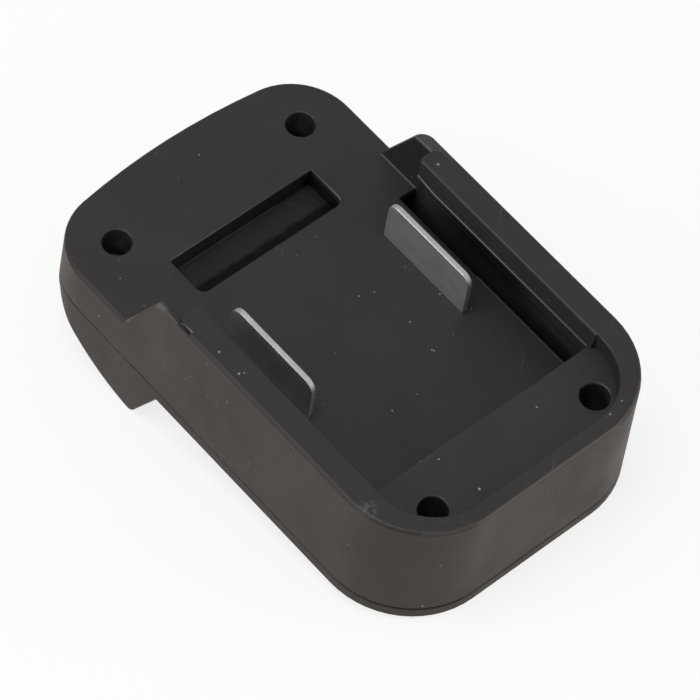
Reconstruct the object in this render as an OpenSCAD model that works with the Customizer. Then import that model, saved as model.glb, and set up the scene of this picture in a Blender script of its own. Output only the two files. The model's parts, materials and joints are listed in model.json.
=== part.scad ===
// Slide-on battery receiver for a cordless tool: a moulded tray with two
// undercut rails, two upright terminal blades and a screwed bottom cover
// with a heel under its open end.
// The tray floor is z = 0, the origin is midway between the two blades,
// and the battery slides in along -Y and leaves along +Y.

/* [Body] */
// Outer width of the body at the top of the rails
top_width = 66; // [62:0.5:72]
// Distance from the origin to the closed rear end, at the top of the wall
rear_reach = 53.6; // [52:0.2:58]
// Distance from the origin to the open front end
front_reach = 52.8; // [50:0.1:60]
// Radius of the two rear corners, seen from above
rear_corner_r = 18; // [15:0.2:22]
// Radius of the two front corners, seen from above
front_corner_r = 13; // [9:0.5:16]
// Radius of the slightly bowed front edge
front_bow_r = 150; // [100:5:400]
// Draft angle of the outside walls
draft_angle = 1.5; // [0:0.1:2.5]
// Rounding of the top edges of the walls
edge_r = 0.8; // [0.4:0.1:1.6]
// Thickness of the tray floor and the rear platform
floor_t = 2.2; // [1.6:0.1:3]
// Distance from the tray floor down to the seam between housing and cover
seam_depth = 10; // [9.2:0.1:12]

/* [Rails] */
// Height of the rails above the tray floor
rail_height = 15.2; // [13.5:0.1:18]
// Height of the underside of the lips, which is also the rear platform
lip_height = 11.2; // [10.9:0.1:12]
// Clear width of the channel below the lips
channel_width = 61.8; // [60:0.2:63]
// Clear width between the lips at their lower edge
lip_gap_low = 52.7; // [50:0.1:54]
// Clear width between the lips at their upper edge
lip_gap_high = 54.6; // [54.2:0.1:56]
// Where the lips begin, from the origin
lip_front = 13.3; // [10:0.1:15]
// Where the front of each rail meets the tray floor
rail_foot = 25.8; // [23:0.1:28]
// Lean of the rail's front end away from the vertical
rail_lean = 28; // [10:1:35]
// Rounding at the top of the rail's front end
rail_nose_r = 4.5; // [2:0.1:6]
// Rounding of the rail's outer front corner at its top, seen from above
rail_corner_r = 1.6; // [0.8:0.1:3]
// Rounding of the same corner at the rail's foot
foot_corner_r = 0.4; // [0.2:0.1:0.8]
// Drop of the rail's top in front of the lip, at the channel
step_inner = 1.2; // [0.4:0.1:2]
// Drop of the rail's top in front of the lip, at the outside
step_outer = 0.3; // [0.1:0.1:0.6]
// Width of the rim that runs on outside the lip's front end
step_rim = 0.95; // [0.6:0.05:1.5]
// Widening of the lips' lower edges at the mouth, on each side
lead_in = 0.45; // [0.2:0.05:0.8]
// Length of that widening
lead_in_len = 6; // [3:0.5:9]
// Rounding of the lip's front corner, seen from above
lip_corner_r = 1.8; // [0.8:0.1:2.5]

/* [Rear platform] */
// Length of the raised platform, from its front edge to the closed rear end
platform_len = 18; // [16.6:0.1:19]
// Thickness of the rear wall above the platform
rear_wall_t = 3.5; // [2.6:0.1:4.5]
// Width of the hollow above the platform
bay_width = 54.8; // [54.6:0.1:57]
// Radius of that hollow's rear corners
bay_corner_r = 12.2; // [8:0.2:15]
// Extra thickness of the housing wall inside, above the tray floor
upper_wall_extra = 2; // [1:0.1:3]

/* [Floor slots] */
// Distance from the origin to the front end of the long floor slots
slot_front = 15.6; // [13:0.1:18]
// Distance between the inner edges of the two long floor slots
slot_inner_gap = 53.8; // [52:0.1:55]

/* [Latch pocket] */
// Width of the pocket that takes the battery's latch
pocket_width = 35.1; // [30:0.1:38]
// Length of the pocket along the slide
pocket_len = 9.4; // [7:0.1:10.5]
// Where the pocket begins, in front of the origin
pocket_rear = 21.6; // [19:0.1:23]
// Depth of the pocket
pocket_depth = 4.8; // [3:0.1:5.6]
// Wall around and under the pocket
pocket_wall = 1.8; // [1.4:0.1:2.2]
// Rounding of the pocket's two rear corners
pocket_r = 1.6; // [0.6:0.1:2.5]

/* [Terminal blades] */
// Distance between the middle planes of the blades
blade_spacing = 38.9; // [34:0.1:42]
// Length of a blade along the slide
blade_len = 22.7; // [18:0.1:25]
// Height of a blade above the tray floor
blade_height = 10.5; // [8:0.1:10.7]
// Thickness of the blade metal
blade_t = 1.2; // [0.8:0.05:1.6]
// Rounding of the blade's upper corners
blade_corner_r = 2.5; // [1:0.1:4]
// Reach of the solder foot below the floor
foot_reach = 8; // [5:0.5:10]
// Length of the solder foot along the slide
foot_len = 9; // [6:0.5:12]
// Diameter of the wire hole in the solder foot
wire_hole_d = 2.6; // [1.6:0.1:3.4]

/* [Screws] */
// Diameter of the four deep screw wells
well_d = 5.8; // [5.6:0.1:6.4]
// Wall around each screw well
well_wall = 1.7; // [1.2:0.1:2]
// Distance of the front wells from the middle plane
front_well_x = 22.9; // [21:0.1:24]
// Distance of the front wells from the open front end
front_well_edge = 12.5; // [12:0.1:15]
// Distance of the rear wells from the middle plane
rear_well_x = 20.1; // [17:0.1:21]
// Distance of the rear wells from the closed rear end
rear_well_edge = 8.9; // [8.1:0.1:10]
// Depth of the screw seat below the tray floor in the front wells
front_seat = 8.6; // [6.5:0.1:9]
// Depth of the screw seat below the tray floor in the rear wells
rear_seat = 1.5; // [0.5:0.1:3]
// Thickness of the well's floor under the screw head
seat_t = 1.4; // [1:0.1:1.8]
// Diameter of the screw head
head_d = 5.2; // [4.6:0.1:5.4]
// Height of the screw head
head_h = 1.9; // [1.4:0.1:2.4]
// Diameter of the screw shank
shank_d = 2.9; // [2.2:0.1:3.2]
// Length of the screw shank below its head
shank_len = 6.2; // [5:0.1:6.5]
// Length of the tapered tip of the shank
tip_len = 0.6; // [0.2:0.1:1.5]
// Rounding of the screw head, as a share of its height
head_round = 0.6; // [0.2:0.05:0.9]
// Width of the cross recess in the screw head
recess_width = 3; // [2:0.1:3.6]
// Width of one arm of the cross recess
recess_arm = 0.7; // [0.4:0.05:1]
// Depth of the cross recess
recess_depth = 1.1; // [0.5:0.1:1.3]

/* [Bottom cover] */
// Thickness of the cover plate
cover_t = 2.8; // [2.2:0.1:3.2]
// Depth of the shadow line at the seam
shadow_depth = 0.4; // [0.1:0.1:0.8]
// Height of the shadow line at the seam
shadow_height = 0.3; // [0.1:0.05:0.5]
// Height of the locating tongue inside the housing
tongue_h = 2.2; // [1.2:0.1:3]
// Thickness of the locating tongue
tongue_t = 1.2; // [0.8:0.1:1.6]
// Diameter of the screw bosses
boss_d = 7.4; // [6.4:0.1:8]
// Thickness of the ribs under the solder feet
rib_t = 1.6; // [1:0.1:2.4]

/* [Heel] */
// Depth that the heel's curve reaches below the tray floor
heel_depth = 24; // [20:0.2:26]
// Radius of the heel's curved underside
heel_curve_r = 38.2; // [34:0.2:44]
// Distance from the origin to the middle of that curve
heel_curve_y = 18; // [16:0.2:20]
// Where the heel's rear wall leaves the cover, from the origin
heel_rear = 14.5; // [12:0.1:18]
// Lean of the heel's rear wall away from the vertical
heel_lean = 28; // [10:1:32]
// Rounding between the heel's rear wall and its underside
heel_nose_r = 1.8; // [0.8:0.1:3]
// Wall thickness of the hollow heel
heel_wall = 2.4; // [1.8:0.1:3]
// Width of the plate left between the locating tongue and the heel's hollow
heel_shelf = 0.6; // [0.2:0.1:1.5]
// Width of the outlet for the leads in the heel's rear wall
outlet_width = 12; // [8:0.5:20]
// Height of that outlet
outlet_height = 5; // [4.6:0.1:6]
// Height of the outlet's middle below the cover plate
outlet_drop = 4.6; // [4:0.1:5.4]

/* [Fits] */
// Clearance around a blade in its floor slot
blade_gap = 0.2; // [0.1:0.05:0.4]
// Clearance between the cover's tongue and the housing wall
tongue_gap = 0.15; // [0.05:0.05:0.3]
// Clearance around a screw shank in the housing
shank_gap = 0.2; // [0.1:0.05:0.3]
// Clearance between screw thread and boss
thread_gap = 0.03; // [0.01:0.01:0.06]
// Clearance between a solder foot and the cover's rib
foot_gap = 0.1; // [0.05:0.05:0.2]

/* [Hidden] */
corner_steps = 14;
round_steps = 5;
bow_steps = 8;
curve_steps = 18;
round_facets = 48;
least_r = 0.2;
largest_sine = 0.99;
tip_share = 0.8;
platform_front = rear_reach - platform_len;
rear_well_y = rear_reach - rear_well_edge;
front_well_y = front_reach - front_well_edge;
half_top = top_width / 2;
half_channel = channel_width / 2;
draft = tan(draft_angle);
seam_z = -seam_depth;
cover_z = seam_z - cover_t;
through = 1;
hole_spare = 0.4;
wall_inset = half_top - half_channel;
bay_overlap = 0.9;
foot_z = -floor_t - blade_t;
front_wells = [[front_well_x, front_well_y], [-front_well_x, front_well_y]];
rear_wells = [[rear_well_x, -rear_well_y], [-rear_well_x, -rear_well_y]];
bow_center_y = front_reach - front_bow_r;
bow_span = front_bow_r - front_corner_r;
front_corner_x = half_top - front_corner_r;
front_corner_y = bow_center_y + sqrt(pow(bow_span, 2) - pow(front_corner_x, 2));
bow_angle = atan2(front_corner_y - bow_center_y, front_corner_x);
rear_corner_x = half_top - rear_corner_r;
rear_corner_y = rear_corner_r - rear_reach;
heel_center_z = heel_curve_r - heel_depth;

// Points along an arc, from one angle to another
function arc(cx, cy, r, from, to, steps) =
    [for (i = [0:steps]) let (a = from + (to - from) * i / steps) [cx + r * cos(a), cy + r * sin(a)]];

// The body's outline seen from above, moved outward by grow
function outline(grow) = concat(
    arc(rear_corner_x, rear_corner_y, rear_corner_r + grow, -90, 0, corner_steps),
    arc(front_corner_x, front_corner_y, front_corner_r + grow, 0, bow_angle, corner_steps),
    arc(0, bow_center_y, front_bow_r + grow, bow_angle, 180 - bow_angle, bow_steps),
    arc(-front_corner_x, front_corner_y, front_corner_r + grow, 180 - bow_angle, 180, corner_steps),
    arc(-rear_corner_x, rear_corner_y, rear_corner_r + grow, 180, 270, corner_steps)
);

// Outward growth of the drafted wall at height z
function wall_grow(z) = draft * (rail_height - z);

// Levels of a rounded upper edge that ends at height z
function top_edge(z, r) =
    [for (i = [0:round_steps]) let (a = 90 * i / round_steps, h = z - r + r * sin(a))
        [h, wall_grow(h) - r + r * cos(a)]];

// Solid through a stack of level rings, each a list of [x, y, z] points
module stack(rings) {
    count = len(rings[0]);
    points = [for (ring = rings) for (p = ring) p];
    sides = [for (k = [0:len(rings) - 2]) for (i = [0:count - 1]) let (j = (i + 1) % count)
        [k * count + i, (k + 1) * count + i, (k + 1) * count + j, k * count + j]];
    bottom = [[for (i = [0:count - 1]) i]];
    top = [[for (i = [count - 1:-1:0]) (len(rings) - 1) * count + i]];
    polyhedron(points, concat(bottom, sides, top));
}

// Solid through a stack of body outlines, each level given as [height, growth]
module loft(levels) {
    stack([for (level = levels) [for (p = outline(level[1])) [p[0], p[1], level[0]]]]);
}

// Prism across the whole width from a side profile given as [y, z] points
module side_prism(points, width) {
    rotate([90, 0, 90]) linear_extrude(height = width, center = true) polygon(points);
}

// Prism along the slide from a cross-section given as [x, z] points
module slide_prism(points, y_from, y_to) {
    translate([0, y_to, 0]) rotate([90, 0, 0]) linear_extrude(height = y_to - y_from) polygon(points);
}

// Box from its low corner to its high corner
module span(low, high) {
    translate(low) cube(high - low);
}

// Both sides of the middle plane
module both_sides() {
    children();
    mirror([1, 0, 0]) children();
}

// Outward growth of the rail's wall at height z, rounded in at its top edge
function rail_grow(z) = let (over = max(0, z - rail_height + edge_r))
    wall_grow(z) - edge_r + sqrt(max(0, edge_r * edge_r - over * over));

// Where the leaning front end of the rail stands at height z, rounded at its top
function rail_front(z) = let (
        over = z - rail_height + rail_nose_r,
        nose_y = rail_foot - tan(rail_lean) * (rail_height - rail_nose_r) - rail_nose_r / cos(rail_lean))
    over > rail_nose_r * sin(rail_lean)
        ? nose_y + sqrt(max(0, rail_nose_r * rail_nose_r - over * over))
        : rail_foot - tan(rail_lean) * z;

// Level ring of the rails at height z, seen from above
function rail_ring(z) = let (
        grow = rail_grow(z),
        r = foot_corner_r + (rail_corner_r - foot_corner_r) * max(0, z) / rail_height,
        x = half_top + grow - r,
        y = rail_front(z) - r)
    [for (p = concat(
            arc(rear_corner_x, rear_corner_y, rear_corner_r + grow, -90, 0, corner_steps),
            arc(x, y, r, 0, 90, round_steps),
            arc(-x, y, r, 90, 180, round_steps),
            arc(-rear_corner_x, rear_corner_y, rear_corner_r + grow, 180, 270, corner_steps)))
        [p[0], p[1], z]];

module outer_form() {
    nose_low = rail_height - rail_nose_r * (1 - sin(rail_lean));
    edge_low = rail_height - edge_r;
    loft(concat([[seam_z, wall_grow(seam_z)]], top_edge(0, edge_r)));
    stack(concat(
        [rail_ring(-edge_r)],
        [for (i = [0:round_steps - 1]) rail_ring(nose_low + (edge_low - nose_low) * i / round_steps)],
        [for (i = [0:round_steps]) rail_ring(edge_low + edge_r * sin(90 * i / round_steps))]));
}

// Room inside the housing, below the floor and under the rear platform
module inner_room() {
    translate([0, 0, seam_z - through]) linear_extrude(height = seam_depth + through - floor_t)
        polygon(outline(-wall_inset));
    intersection() {
        translate([0, 0, -floor_t - through]) linear_extrude(height = lip_height + through)
            polygon(outline(-wall_inset - upper_wall_extra));
        span([-half_top, -rear_reach, -seam_depth], [half_top, -platform_front - floor_t, lip_height]);
    }
}

module wells(places, seat, top) {
    for (p = places) translate([p[0], p[1], -seat - seat_t])
        cylinder(d = well_d + 2 * well_wall, h = seat + seat_t + top, $fn = round_facets);
}

module well_bores(places, seat, top) {
    for (p = places) translate([p[0], p[1], 0]) {
        translate([0, 0, -seat]) cylinder(d = well_d, h = seat + top + through, $fn = round_facets);
        translate([0, 0, -seat - seat_t - through])
            cylinder(d = shank_d + 2 * shank_gap, h = seat_t + 2 * through, $fn = round_facets);
    }
}

// Channel between the rails, open at the front, with the lips left standing
module channel() {
    low = lip_gap_low / 2;
    high = lip_gap_high / 2;
    rise = (high - low) / (rail_height - lip_height);
    top = rail_height + through;
    out = low + rise * (top - lip_height);
    front = 2 * front_reach;
    slide_prism([[-half_channel, 0], [half_channel, 0], [half_channel, lip_height], [low, lip_height],
        [out, top], [-out, top], [-low, lip_height], [-half_channel, lip_height]], -platform_front, front);
    slide_prism([[-low, lip_height], [low, lip_height], [out, top], [-out, top]],
        -platform_front - 2 * bay_overlap, through - platform_front);
    r = lip_corner_r;
    plan = concat([[0, lip_front - lead_in_len]], [[low, lip_front - lead_in_len]],
        arc(low + lead_in + r, lip_front - r, r, 180, 90, round_steps),
        [[half_channel, lip_front], [half_channel, front], [0, front]]);
    both_sides() translate([0, 0, lip_height - through])
        linear_extrude(height = top - lip_height + through) polygon(plan);
}

// Lower, slightly sloping top of the rails in front of the lips
module nose_step() {
    x = half_top - step_rim;
    r = lip_corner_r;
    slope = (step_inner - step_outer) / (half_top - half_channel);
    high = rail_height - step_outer + slope * through;
    low = high - slope * (half_top + through - lip_gap_low / 2);
    both_sides() intersection() {
        slide_prism([[lip_gap_low / 2, low], [half_top + through, high],
            [half_top + through, rail_height + through], [lip_gap_low / 2, rail_height + through]],
            0, rail_foot);
        linear_extrude(height = rail_height + through) polygon(concat(
            [[half_top + through, rail_foot], [lip_gap_low / 2, rail_foot], [lip_gap_low / 2, lip_front]],
            arc(x - r, lip_front - r, r, 90, 0, round_steps),
            [[x, lip_front - 2 * r], [half_top + through, lip_front - 3 * r]]));
    }
}

// Hollow above the rear platform
module rear_bay() {
    r = bay_corner_r;
    x = bay_width / 2;
    y = -rear_reach + rear_wall_t;
    translate([0, 0, lip_height]) linear_extrude(height = rail_height - lip_height + through)
        polygon(concat([[x, -platform_front - bay_overlap]],
            [[-x, -platform_front - bay_overlap]],
            arc(r - x, y + r, r, 180, 270, corner_steps),
            arc(x - r, y + r, r, 270, 360, corner_steps)));
}

module latch_pocket(grow) {
    x = pocket_width / 2 + grow;
    y0 = pocket_rear - grow;
    y1 = pocket_rear + pocket_len + grow;
    r = pocket_r + grow;
    linear_extrude(height = pocket_depth + (grow > 0 ? grow : through))
        polygon(concat([[x, y1], [-x, y1]],
            arc(r - x, y0 + r, r, 180, 270, round_steps),
            arc(x - r, y0 + r, r, 270, 360, round_steps)));
}

module top_housing() {
    color("#2b2b2c") difference() {
        union() {
            difference() {
                outer_form();
                inner_room();
            }
            wells(front_wells, front_seat, -floor_t / 2);
            wells(rear_wells, rear_seat, lip_height - floor_t / 2);
            translate([0, 0, -pocket_depth - pocket_wall]) latch_pocket(pocket_wall);
        }
        channel();
        nose_step();
        rear_bay();
        translate([0, 0, -pocket_depth]) latch_pocket(0);
        well_bores(front_wells, front_seat, 0);
        well_bores(rear_wells, rear_seat, lip_height);
        both_sides() span(
            [slot_inner_gap / 2, -platform_front, -floor_t - through],
            [half_channel, slot_front, through]);
        both_sides() span(
            [blade_spacing / 2 - blade_t / 2 - blade_gap, -blade_len / 2 - blade_gap, -floor_t - through],
            [blade_spacing / 2 + blade_t / 2 + blade_gap, blade_len / 2 + blade_gap, through]);
    }
}

// Side profile of the heel, made smaller by inset for its hollow
function heel_profile(inset, top) = let (
        r = heel_curve_r - inset,
        nose = max(least_r, heel_nose_r - inset),
        wall_y = heel_rear + inset / cos(heel_lean),
        reach = r - nose,
        // The rear wall is the line y = wall_y + tan(heel_lean) * (cover_z - z)
        slope = tan(heel_lean),
        // Centre of the rounding: nose from the wall and nose inside the curve
        offset_y = wall_y + nose / cos(heel_lean) + slope * (cover_z - heel_center_z) - heel_curve_y,
        k = 1 + slope * slope,
        b = -offset_y * slope,
        drop = (b + sqrt(b * b - k * (offset_y * offset_y - reach * reach))) / k,
        nose_y = heel_curve_y + offset_y + slope * drop,
        nose_z = heel_center_z - drop,
        contact = atan2(nose_z - heel_center_z, nose_y - heel_curve_y),
        far = -asin(max(-largest_sine, min(largest_sine, (heel_center_z - top) / r))))
    concat(
        [[wall_y + slope * (cover_z - top), top]],
        arc(nose_y, nose_z, nose, 180 + heel_lean, 360 + contact, round_steps),
        arc(heel_curve_y, heel_center_z, r, contact, far, curve_steps)
    );

// Side profile of the cover plate with the heel under it
function cover_profile() = concat(
    [[-2 * rear_reach, seam_z + through], [-2 * rear_reach, cover_z]],
    heel_profile(0, cover_z),
    [[2 * front_reach, cover_z], [2 * front_reach, seam_z + through]]
);

// Plate and heel as one drafted shell, with the shadow line at the seam and the heel hollowed out
module cover_form() {
    lip = seam_z - shadow_height;
    difference() {
        intersection() {
            loft([
                [-heel_depth - through, wall_grow(-heel_depth - through)],
                [lip, wall_grow(lip)],
                [lip, wall_grow(lip) - shadow_depth],
                [seam_z, wall_grow(lip) - shadow_depth]
            ]);
            side_prism(cover_profile(), 2 * top_width);
        }
        side_prism(heel_profile(heel_wall, seam_z + through),
            2 * (half_channel - tongue_gap - tongue_t - heel_shelf));
    }
}

// Ring that stands up inside the housing wall and locates the cover
module tongue() {
    fit = wall_inset + tongue_gap;
    translate([0, 0, seam_z - through]) linear_extrude(height = tongue_h + through) difference() {
        polygon(outline(-fit));
        polygon(outline(-fit - tongue_t));
    }
}

module bosses(places, low, top) {
    for (p = places) translate([p[0], p[1], low])
        cylinder(d = boss_d, h = top - low, $fn = round_facets);
}

// Ribs that hold the solder feet of the blades up against the tray floor
module foot_ribs() {
    both_sides() for (s = [-1, 1]) span(
        [blade_spacing / 2 - foot_reach + rib_t, s * (foot_len - rib_t) / 2 - rib_t / 2, seam_z - through],
        [blade_spacing / 2 + blade_t / 2, s * (foot_len - rib_t) / 2 + rib_t / 2, foot_z - foot_gap]);
}

module thread_holes(places, seat) {
    for (p = places) translate([p[0], p[1], -seat - shank_len - hole_spare])
        cylinder(d = shank_d + 2 * thread_gap, h = 2 * shank_len, $fn = round_facets);
}

module bottom_cover() {
    color("#2e2c2b") difference() {
        union() {
            cover_form();
            tongue();
            intersection() {
                bosses(front_wells, -heel_depth, -front_seat - seat_t);
                side_prism(heel_profile(heel_wall / 2, 0), channel_width);
            }
            bosses(rear_wells, cover_z + cover_t / 2, -rear_seat - seat_t);
            foot_ribs();
        }
        thread_holes(front_wells, front_seat);
        thread_holes(rear_wells, rear_seat);
        translate([0, heel_rear, cover_z - outlet_drop]) rotate([-90, 0, 0]) outlet_form();
    }
}

// Oval hole through the heel's rear wall, drawn along the slide
module outlet_form() {
    run = (outlet_width - outlet_height) / 2;
    length = 2 * outlet_height + heel_wall;
    for (s = [-1, 1]) translate([s * run, 0, 0])
        cylinder(d = outlet_height, h = length, $fn = round_facets);
    span([-run, -outlet_height / 2, 0], [run, outlet_height / 2, length]);
}

// Upright blade with rounded upper corners and a solder foot bent inward below the floor
module terminal_blade() {
    x = blade_spacing / 2;
    y = blade_len / 2;
    r = blade_corner_r;
    color("#b9b7b2") difference() {
        union() {
            translate([x, 0, 0]) side_prism(concat(
                [[-y, foot_z], [y, foot_z]],
                arc(y - r, blade_height - r, r, 0, 90, bow_steps),
                arc(r - y, blade_height - r, r, 90, 180, bow_steps)), blade_t);
            span([x - foot_reach, -foot_len / 2, foot_z], [x, foot_len / 2, -floor_t]);
        }
        translate([x - foot_reach + wire_hole_d, 0, foot_z - through])
            cylinder(d = wire_hole_d, h = blade_t + 2 * through, $fn = round_facets);
    }
}

module left_terminal_blade() { mirror([1, 0, 0]) terminal_blade(); }
module right_terminal_blade() { terminal_blade(); }

// Pan-head screw with a cross recess, seated at the origin and pointing down
module screw() {
    rise = head_round * head_h;
    difference() {
        rotate_extrude($fn = round_facets) polygon(concat(
            [[0, -shank_len], [tip_share * shank_d / 2, -shank_len], [shank_d / 2, tip_len - shank_len],
                [shank_d / 2, 0], [head_d / 2, 0]],
            arc(head_d / 2 - rise, head_h - rise, rise, 0, 90, round_steps),
            [[0, head_h]]));
        for (a = [0, 90]) rotate(a) span(
            [-recess_width / 2, -recess_arm / 2, head_h - recess_depth],
            [recess_width / 2, recess_arm / 2, head_h + through]);
    }
}

module case_screws() {
    color("#8f8d88") {
        for (p = front_wells) translate([p[0], p[1], -front_seat]) screw();
        for (p = rear_wells) translate([p[0], p[1], -rear_seat]) screw();
    }
}

top_housing();
bottom_cover();
left_terminal_blade();
right_terminal_blade();
case_screws();
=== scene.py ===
"""Looks for a slide-on battery receiver: a satin black moulding with two undercut
rails, plated contact blades, case screws and a screwed bottom cover.

It runs as a script. Each solid of the frame is drawn as a merged copy that has the small
rounded edges of a real moulding or stamping. The parting beads on the lips and the flash in
the seam are modelled here. Every finish is built from nodes.
"""

import json
import math

import bmesh
import bpy
from bpy.props import FloatProperty, FloatVectorProperty, IntProperty, PointerProperty
from mathutils import Matrix, Vector


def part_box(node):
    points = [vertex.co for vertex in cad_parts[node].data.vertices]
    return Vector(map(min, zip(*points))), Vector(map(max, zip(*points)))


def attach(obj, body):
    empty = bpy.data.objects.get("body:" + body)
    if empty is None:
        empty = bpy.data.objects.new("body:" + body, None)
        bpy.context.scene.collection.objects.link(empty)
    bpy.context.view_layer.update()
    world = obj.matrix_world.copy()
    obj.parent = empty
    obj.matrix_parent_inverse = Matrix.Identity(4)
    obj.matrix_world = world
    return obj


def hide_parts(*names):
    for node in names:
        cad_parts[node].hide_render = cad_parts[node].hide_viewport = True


bl_info = {
    "name": "Battery receiver looks",
    "version": (1, 0, 0),
    "blender": (4, 5, 0),
    "location": "3D View > Sidebar > Receiver",
    "description": "Builds the finished pieces, lights and camera of a slide-on battery receiver",
    "category": "Object",
}

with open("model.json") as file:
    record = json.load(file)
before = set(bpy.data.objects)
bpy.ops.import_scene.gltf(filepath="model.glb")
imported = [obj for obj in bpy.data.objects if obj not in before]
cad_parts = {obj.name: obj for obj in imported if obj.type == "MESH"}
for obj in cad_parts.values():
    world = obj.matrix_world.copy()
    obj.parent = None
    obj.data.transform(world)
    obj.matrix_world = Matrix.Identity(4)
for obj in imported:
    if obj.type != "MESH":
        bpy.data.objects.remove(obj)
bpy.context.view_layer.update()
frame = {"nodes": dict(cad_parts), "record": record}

# One millimetre in metres
MM = 0.001

# Places closer together than this count as the same. The flash reaches this far into the two
# mouldings, and the floor stays this far below the heel
TOUCH = 0.02 * MM

# In a merged copy, vertices closer than WELD become one, edges shorter than SLIVER are closed
# and faces that turn by less than FLAT are joined
WELD = 0.002 * MM
SLIVER = 0.004 * MM
FLAT = math.radians(0.4)

# Inside corners that turn by more than this are shaded sharp
INSIDE_CORNER = math.radians(35)

# A rounding takes at most this share of the narrower face beside it
ROOM_SHARE = 0.4

# A nose's inner edge that is longer than this many margins is cut where its rounding ends, and
# edges shorter than SHORT that lead off it are closed
LONG_NOSE = 4
SHORT = 0.25 * MM

# Where the noses' ledge dies away in the lips, as heights above the lips' underside
LEDGE_FOOT = 2 * MM
LEDGE_TOP = 3 * MM

# Parting beads: sides round, how far the middle is above the lip's underside as a share of the
# thickness, length of the lips' widening mouth, and how far behind the lips' front they end
BEAD_SIDES = 8
BEAD_RISE = 0.3
MOUTH_LENGTH = 6.0 * MM
BEAD_STOP = 0.9 * MM

# A direction along which no two corners of the beads lie level
SKEW = Vector((1.0, 7.3, 3.1))

# How far the uneven border of the painted shade wanders, in millimetres
PAINTED_SHADE_WANDER = 1.4

mount_at = {mount["name"]: mount["pos_m"] for mount in frame["record"]["mounts"]}


def hex_colour(text):
    """Linear red, green and blue of an sRGB hex colour."""
    parts = [int(text[i : i + 2], 16) / 255 for i in (1, 3, 5)]
    return tuple(p / 12.92 if p <= 0.04045 else ((p + 0.055) / 1.055) ** 2.4 for p in parts)


# Rubbed spots on the housing: place and radius in millimetres, and how pale the rubbing is
SCUFFS = (
    ((-31.3, -38.9, 15.2), 2.4, 0.17),
    ((29.3, 10.2, 15.2), 0.45, 0.9),
    ((26.0, 5.6, 15.2), 0.5, 0.7),
)

# Painted highlights along edges of the housing (the rails' noses, the ledge, the slots' and the pocket's
# edges and the rear rim), and painted light on the shaded walls of the right floor slot: start, end and
# radius in millimetres, and paleness
PAINTED_EDGE_LIGHT = (
    ((-33.2, 25.0, 1.2), (-32.2, 21.9, 7.4), 0.7, 0.16),
    ((-32.2, 21.9, 7.4), (-31.9, 19.3, 12.6), 0.9, 0.18),
    ((-31.9, 19.3, 12.6), (-32.6, 16.4, 14.7), 0.9, 0.22),
    ((-32.6, 16.4, 14.7), (-32.9, 12.6, 14.9), 0.5, 0.14),
    ((-32.03, 12.2, 14.6), (-32.05, 9.2, 15.1), 0.24, 0.55),
    ((30.95, 18.3, 13.7), (31.0, 13.6, 14.0), 0.5, 0.16),
    ((30.9, 25.4, 0.0), (30.9, 15.7, 0.0), 0.3, 0.35),
    ((26.9, -7.0, 0.0), (26.9, -35.4, 0.0), 0.4, 0.6),
    # Painted light: these two lighten the walls of the right floor slot, which lie in shade under the lip
    ((28.9, 12.0, -3.5), (28.9, -36.0, -3.5), 4.2, 0.15),
    ((29.4, 12.0, 1.6), (29.4, -36.0, 1.6), 2.8, 0.1),
    ((-17.55, 31.0, 0.0), (17.55, 31.0, 0.0), 0.28, 0.18),
    ((17.55, 31.0, 0.0), (17.55, 22.5, 0.0), 0.28, 0.26),
    ((-17.4, 31.0, -4.8), (9.0, 31.0, -4.8), 0.2, 0.2),
    ((-26.9, -48.8, 14.9), (-22.5, -51.7, 14.9), 0.42, 0.07),
    ((-22.5, -51.7, 14.9), (-17.0, -53.25, 14.9), 0.42, 0.1),
    ((-17.0, -53.35, 14.9), (17.0, -53.35, 14.9), 0.5, 0.14),
    ((17.0, -53.25, 14.9), (22.5, -51.7, 14.9), 0.42, 0.1),
    ((22.5, -51.7, 14.9), (26.9, -48.8, 14.9), 0.42, 0.07),
)

# Specks of debris that stick to the housing: place and radius in millimetres, and paleness
FLECKS = (
    ((-10.4, -46.5, 11.2), 0.32, 0.77),
    ((9.9, -39.8, 11.2), 0.26, 0.51),
    ((-25.2, -51.2, -9.0), 0.27, 0.68),
    ((-23.5, -51.8, 4.4), 0.22, 0.51),
    ((17.5, -50.7, 15.2), 0.26, 0.59),
    ((21.2, -49.9, 15.2), 0.22, 0.51),
    ((18.3, -5.5, 0.0), 0.24, 0.51),
    ((9.6, -6.8, 0.0), 0.22, 0.42),
    ((8.9, -14.4, 0.0), 0.26, 0.42),
    ((-30.9, 2.9, 15.2), 0.32, 0.51),
    ((-31.1, -2.9, 15.2), 0.30, 0.64),
    ((-33.2, -3.0, 7.8), 0.22, 0.51),
    ((-33.3, 7.8, 2.4), 0.22, 0.42),
    ((-33.6, 32.1, -5.7), 0.26, 0.68),
    ((30.9, 17.1, 2.0), 0.22, 0.51),
)

# Runs of flash in the seam along each straight side: from and to, in millimetres along the slide
FLASH_RUNS = ((-35.0, -20.8), (-18.2, -12.7), (-10.7, 3.6), (4.8, 16.2), (22.4, 32.0))

# Painted shade in the latch pocket, where shadow falls: a fainter wide one over its floor, a dark strip along
# its rear wall and one on its right end wall. Start, end and radius in millimetres, and how dark it is
POCKET_PAINTED_SHADE = (
    ((-17.0, 26.0, -4.8), (17.0, 26.0, -4.8), 6.0, 0.4),
    ((-16.5, 23.4, -4.8), (17.0, 23.4, -4.8), 3.4, 1.0),
    ((17.5, 23.5, -3.1), (17.5, 31.0, -3.1), 2.6, 0.85),
)

# Softboxes: name, direction from the object, distance, width, height, power and linear colour
SOFTBOXES = (
    ("Left softbox", (-0.80, 0.36, 0.42), 1.3, 0.9, 0.5, 4.6, (1.0, 0.96, 0.92)),
    ("Rear softbox", (0.66, -0.66, 0.36), 1.3, 0.8, 0.5, 4.0, (1.0, 0.96, 0.92)),
    ("Top softbox", (-0.20, 0.10, 0.97), 1.2, 0.5, 0.5, 5.0, (1.0, 1.0, 1.0)),
)


# Sizes and colours that a user may change


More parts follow.
